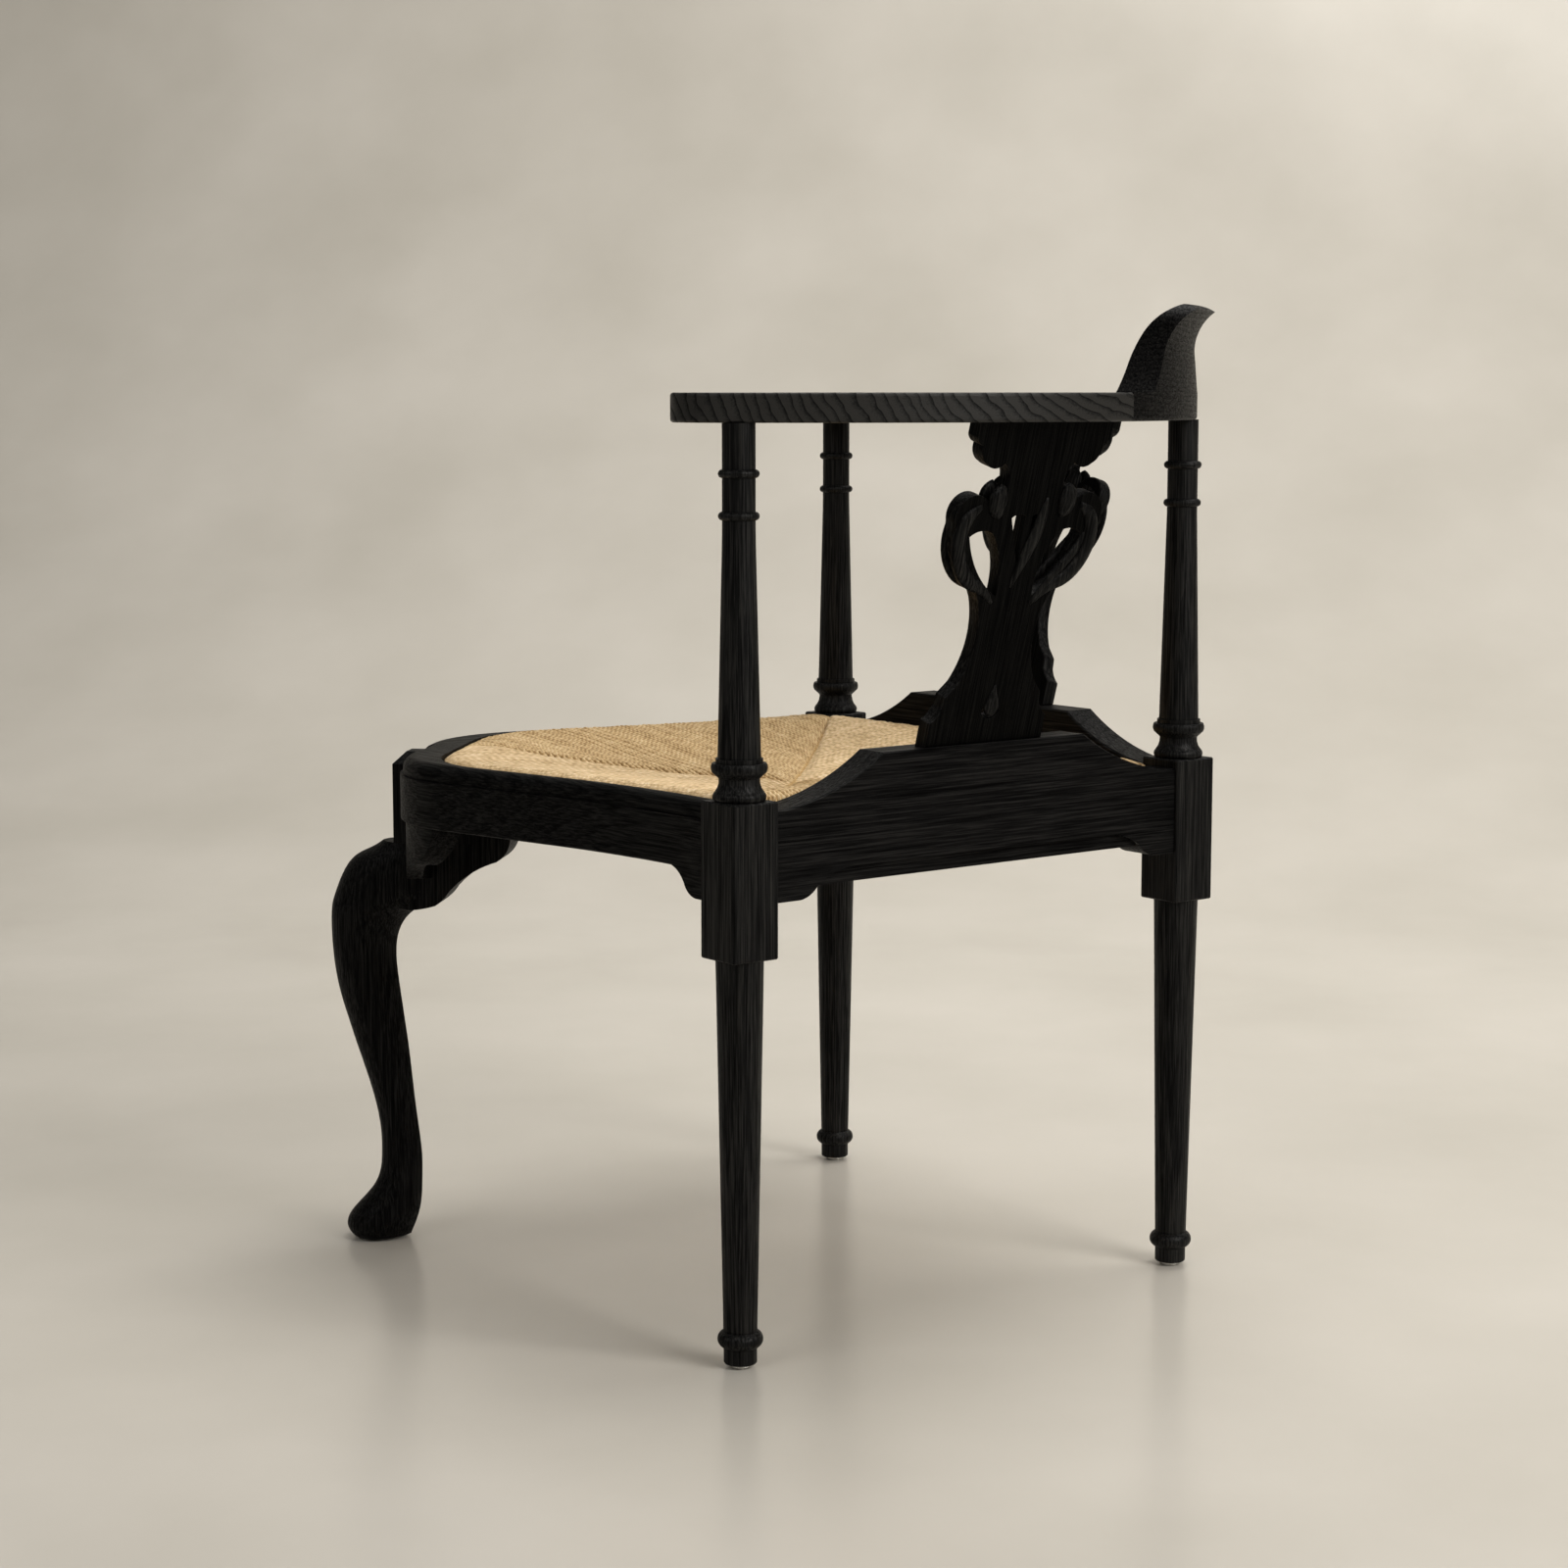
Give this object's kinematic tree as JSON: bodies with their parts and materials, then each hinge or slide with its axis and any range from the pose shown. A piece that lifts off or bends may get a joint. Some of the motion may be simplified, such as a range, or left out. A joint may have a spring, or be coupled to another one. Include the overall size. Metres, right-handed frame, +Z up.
{
  "type": "corner chair",
  "caption": "Corner chair: a square seat set on its corner, cabriole front leg, turned posts, pierced splats, horseshoe arm with a rolled crest and a drop-in rush seat.",
  "frame": {"origin": "on the floor, under the middle of the chair's box", "axes": "+Z up, -Y towards the front corner with the cabriole leg, +X to the sitter's left hand"},
  "size_m": [0.7036, 0.7559, 0.8045],
  "materials": {
    "ebonised_ash": "satin black, open grain",
    "plain_beech": "unfinished",
    "rush": "twisted and woven",
    "straw_packing": "loose straw",
    "glide_steel": "plated"
  },
  "bodies": {
    "chair": {"right_post": "ebonised_ash", "back_post": "ebonised_ash", "left_post": "ebonised_ash", "front_leg": "ebonised_ash", "right_knee_bracket": "ebonised_ash", "right_back_rail": "ebonised_ash", "right_front_rail": "ebonised_ash", "right_splat": "ebonised_ash", "right_arm": "ebonised_ash", "left_knee_bracket": "ebonised_ash", "left_back_rail": "ebonised_ash", "left_front_rail": "ebonised_ash", "left_splat": "ebonised_ash", "left_arm": "ebonised_ash", "crest_rail": "ebonised_ash", "crest_dowels": "plain_beech", "right_corner_block": "plain_beech", "back_corner_block": "plain_beech", "left_corner_block": "plain_beech", "front_corner_block": "plain_beech", "right_glide": "glide_steel", "back_glide": "glide_steel", "left_glide": "glide_steel", "front_glide": "glide_steel"},
    "seat": {"rush_seat": "rush", "seat_packing": "straw_packing", "seat_right_back_rail": "plain_beech", "seat_right_front_rail": "plain_beech", "seat_left_back_rail": "plain_beech", "seat_left_front_rail": "plain_beech"}
  },
  "joints": [
    {"name": "seat_lift", "type": "slide", "parent": "chair", "child": "seat", "axis": [0, 0, 1], "range_m": [0, 0.1]}
  ]
}
